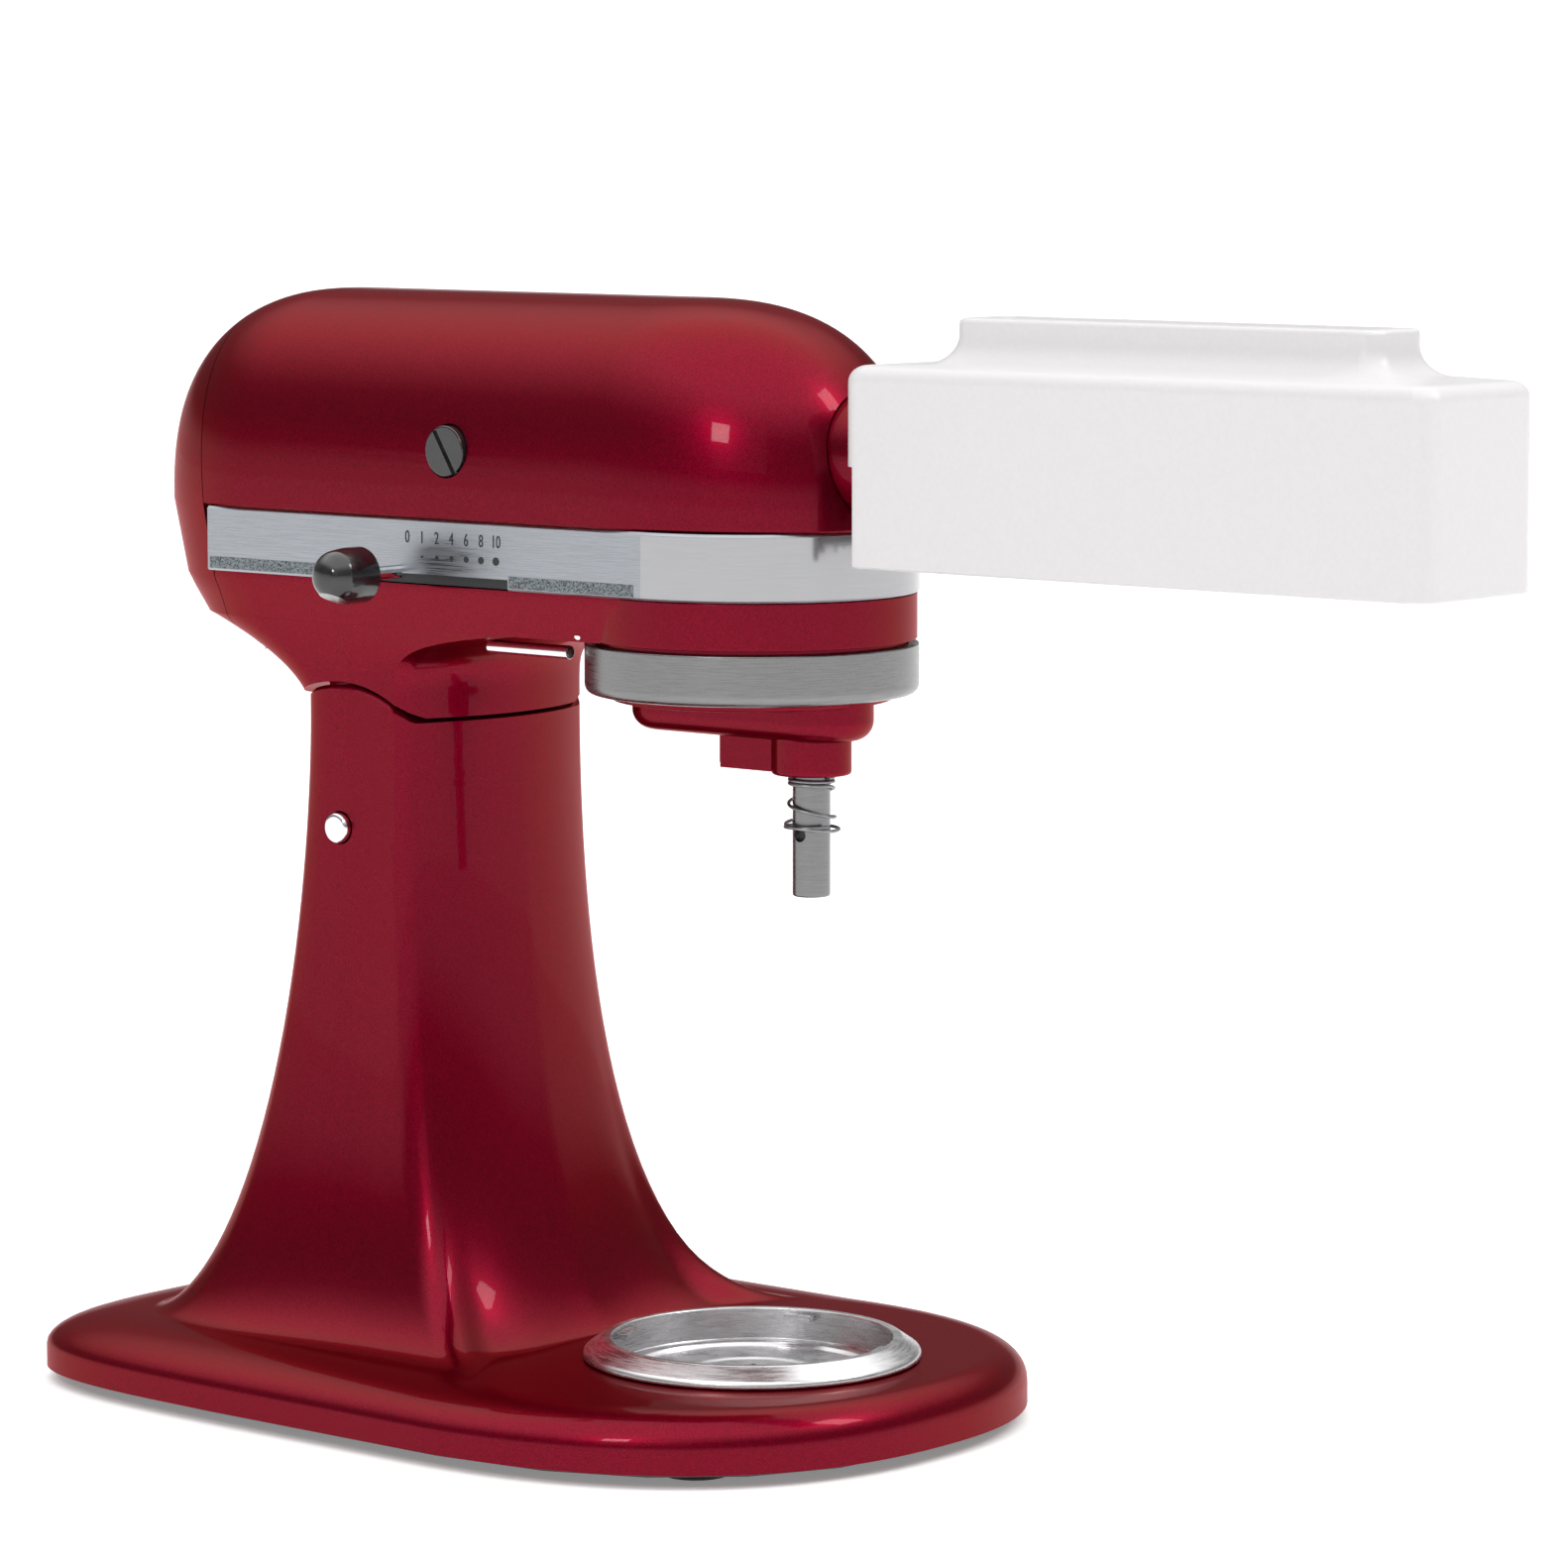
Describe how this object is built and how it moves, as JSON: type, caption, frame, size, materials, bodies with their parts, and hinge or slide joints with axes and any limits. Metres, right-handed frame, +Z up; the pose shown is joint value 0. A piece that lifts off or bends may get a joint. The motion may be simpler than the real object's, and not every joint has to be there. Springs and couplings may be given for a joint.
{
  "type": "tilt-head stand mixer with roller meat tenderiser",
  "caption": "Tilt-head stand mixer with a geared motor head, speed lever and bowl plate, and a white twin-roller meat tenderiser for jerky strips on its drive hub.",
  "frame": {"origin": "middle of the footprint, on the surface the feet stand on", "axes": "+X from the column towards the drive hub and the tenderiser, +Y to the machine's left, away from the speed lever, +Z up"},
  "size_m": [0.509, 0.2196, 0.3555],
  "materials": {
    "black_plastic": "gloss black",
    "black_rubber": "matte",
    "brass": "machined",
    "brushed_steel": "brushed, satin",
    "chrome": "bright",
    "copper": "copper windings and segments",
    "dark_steel": "machined steel, oiled",
    "nylon": "natural nylon",
    "red_enamel": "gloss candy red enamel",
    "white_plastic": "satin white moulded plastic"
  },
  "bodies": {
    "attachment_drive": {"attachment_drive_shaft": "dark_steel", "drive_gear": "dark_steel"},
    "beater": {"beater_shaft": "brushed_steel", "beater_spring": "dark_steel", "planet_pinion": "dark_steel"},
    "feed_cover": {"feed_cover": "white_plastic"},
    "head": {"brush_cap_left": "black_plastic", "brush_cap_right": "black_plastic", "brush_holder_left": "brass", "brush_holder_right": "brass", "cord_gland": "black_rubber", "drip_ring": "brushed_steel", "hub_socket": "red_enamel", "lower_housing": "red_enamel", "motor_bracket_front": "dark_steel", "motor_bracket_rear": "dark_steel", "rear_cover": "red_enamel", "ring_gear": "dark_steel", "stator": "dark_steel", "trim_band": "brushed_steel", "upper_housing": "red_enamel"},
    "hub_drive": {"hub_bevel_gear": "dark_steel", "hub_drive_socket": "dark_steel"},
    "hub_knob": {"hub_knob": "black_plastic"},
    "layshaft": {"layshaft_rod": "dark_steel", "spur_pinion": "dark_steel", "worm_wheel": "nylon"},
    "lock_lever": {"lock_knob": "black_plastic", "lock_lever": "chrome"},
    "planetary": {"centre_bevel_gear": "dark_steel", "centre_gear": "dark_steel", "centre_shaft": "dark_steel", "planetary_casting": "red_enamel"},
    "roller_a": {"roller_axle_a": "chrome", "roller_blades_a": "brushed_steel", "roller_gear_a": "nylon"},
    "roller_b": {"roller_axle_b": "chrome", "roller_blades_b": "brushed_steel", "roller_gear_b": "nylon"},
    "rotor": {"commutator": "copper", "cooling_fan": "nylon", "rotor_core": "copper", "rotor_shaft": "dark_steel"},
    "speed_lever": {"speed_knob": "black_plastic", "speed_lever": "chrome"},
    "stand": {"base_plate": "black_plastic", "bowl_plate": "brushed_steel", "bowl_plate_screw": "chrome", "foot_front_left": "black_rubber", "foot_front_right": "black_rubber", "foot_rear_left": "black_rubber", "foot_rear_right": "black_rubber", "hinge_pin": "chrome", "stand_casting": "red_enamel"},
    "tenderiser": {"comb_left": "white_plastic", "comb_right": "white_plastic", "tenderiser_body": "white_plastic", "tenderiser_front_plate": "white_plastic", "tie_rod_left": "chrome", "tie_rod_right": "chrome"}
  },
  "joints": [
    {"name": "head_tilt", "type": "hinge", "parent": "stand", "child": "head", "pos_m": [-0.1525, 0, 0.184], "axis": [0, -1, 0], "range_deg": [0, 33]},
    {"name": "motor_spin", "type": "hinge", "parent": "head", "child": "rotor", "pos_m": [-0.1565, 0, 0.3075], "axis": [1, 0, 0], "continuous": true},
    {"name": "layshaft_spin", "type": "hinge", "parent": "head", "child": "layshaft", "pos_m": [-0.05488, 0.0235, 0.3075], "axis": [0, 0, 1], "continuous": true},
    {"name": "planetary_spin", "type": "hinge", "parent": "head", "child": "planetary", "pos_m": [-0.0165, 0, 0.232], "axis": [0, 0, 1], "continuous": true},
    {"name": "beater_spin", "type": "hinge", "parent": "planetary", "child": "beater", "pos_m": [0.0075, 0, 0.2], "axis": [0, 0, 1], "continuous": true},
    {"name": "hub_drive_spin", "type": "hinge", "parent": "head", "child": "hub_drive", "pos_m": [0.0035, 0, 0.3075], "axis": [1, 0, 0], "continuous": true},
    {"name": "hub_knob_turn", "type": "hinge", "parent": "head", "child": "hub_knob", "pos_m": [0.0335, 0.04, 0.3075], "axis": [0, 1, 0], "range_deg": [0, 180]},
    {"name": "speed_slide", "type": "slide", "parent": "head", "child": "speed_lever", "axis": [1, 0, 0], "range_m": [0, 0.038]},
    {"name": "lock_swing", "type": "hinge", "parent": "head", "child": "lock_lever", "pos_m": [-0.1105, 0.05, 0.2565], "axis": [0, -1, 0], "range_deg": [0, 60]},
    {"name": "tenderiser_pull", "type": "slide", "parent": "head", "child": "tenderiser", "axis": [1, 0, 0], "range_m": [0, 0.05]},
    {"name": "attachment_drive_spin", "type": "hinge", "parent": "tenderiser", "child": "attachment_drive", "pos_m": [0.0435, 0, 0.3075], "axis": [1, 0, 0], "continuous": true},
    {"name": "roller_a_spin", "type": "hinge", "parent": "tenderiser", "child": "roller_a", "pos_m": [0.0735, -0.012, 0.2915], "axis": [1, 0, 0], "continuous": true},
    {"name": "roller_b_spin", "type": "hinge", "parent": "tenderiser", "child": "roller_b", "pos_m": [0.0735, 0.012, 0.2915], "axis": [1, 0, 0], "continuous": true},
    {"name": "cover_lift", "type": "slide", "parent": "tenderiser", "child": "feed_cover", "axis": [0, 0, 1], "range_m": [0, 0.09]}
  ],
  "couplings": [
    {"joint": "motor_spin", "follows": "planetary_spin", "ratio": 16.5},
    {"joint": "layshaft_spin", "follows": "planetary_spin", "ratio": -2.75},
    {"joint": "beater_spin", "follows": "planetary_spin", "ratio": -3.6667},
    {"joint": "hub_drive_spin", "follows": "planetary_spin", "ratio": 1},
    {"joint": "attachment_drive_spin", "follows": "planetary_spin", "ratio": 1},
    {"joint": "roller_a_spin", "follows": "planetary_spin", "ratio": -0.66667},
    {"joint": "roller_b_spin", "follows": "planetary_spin", "ratio": 0.66667}
  ]
}
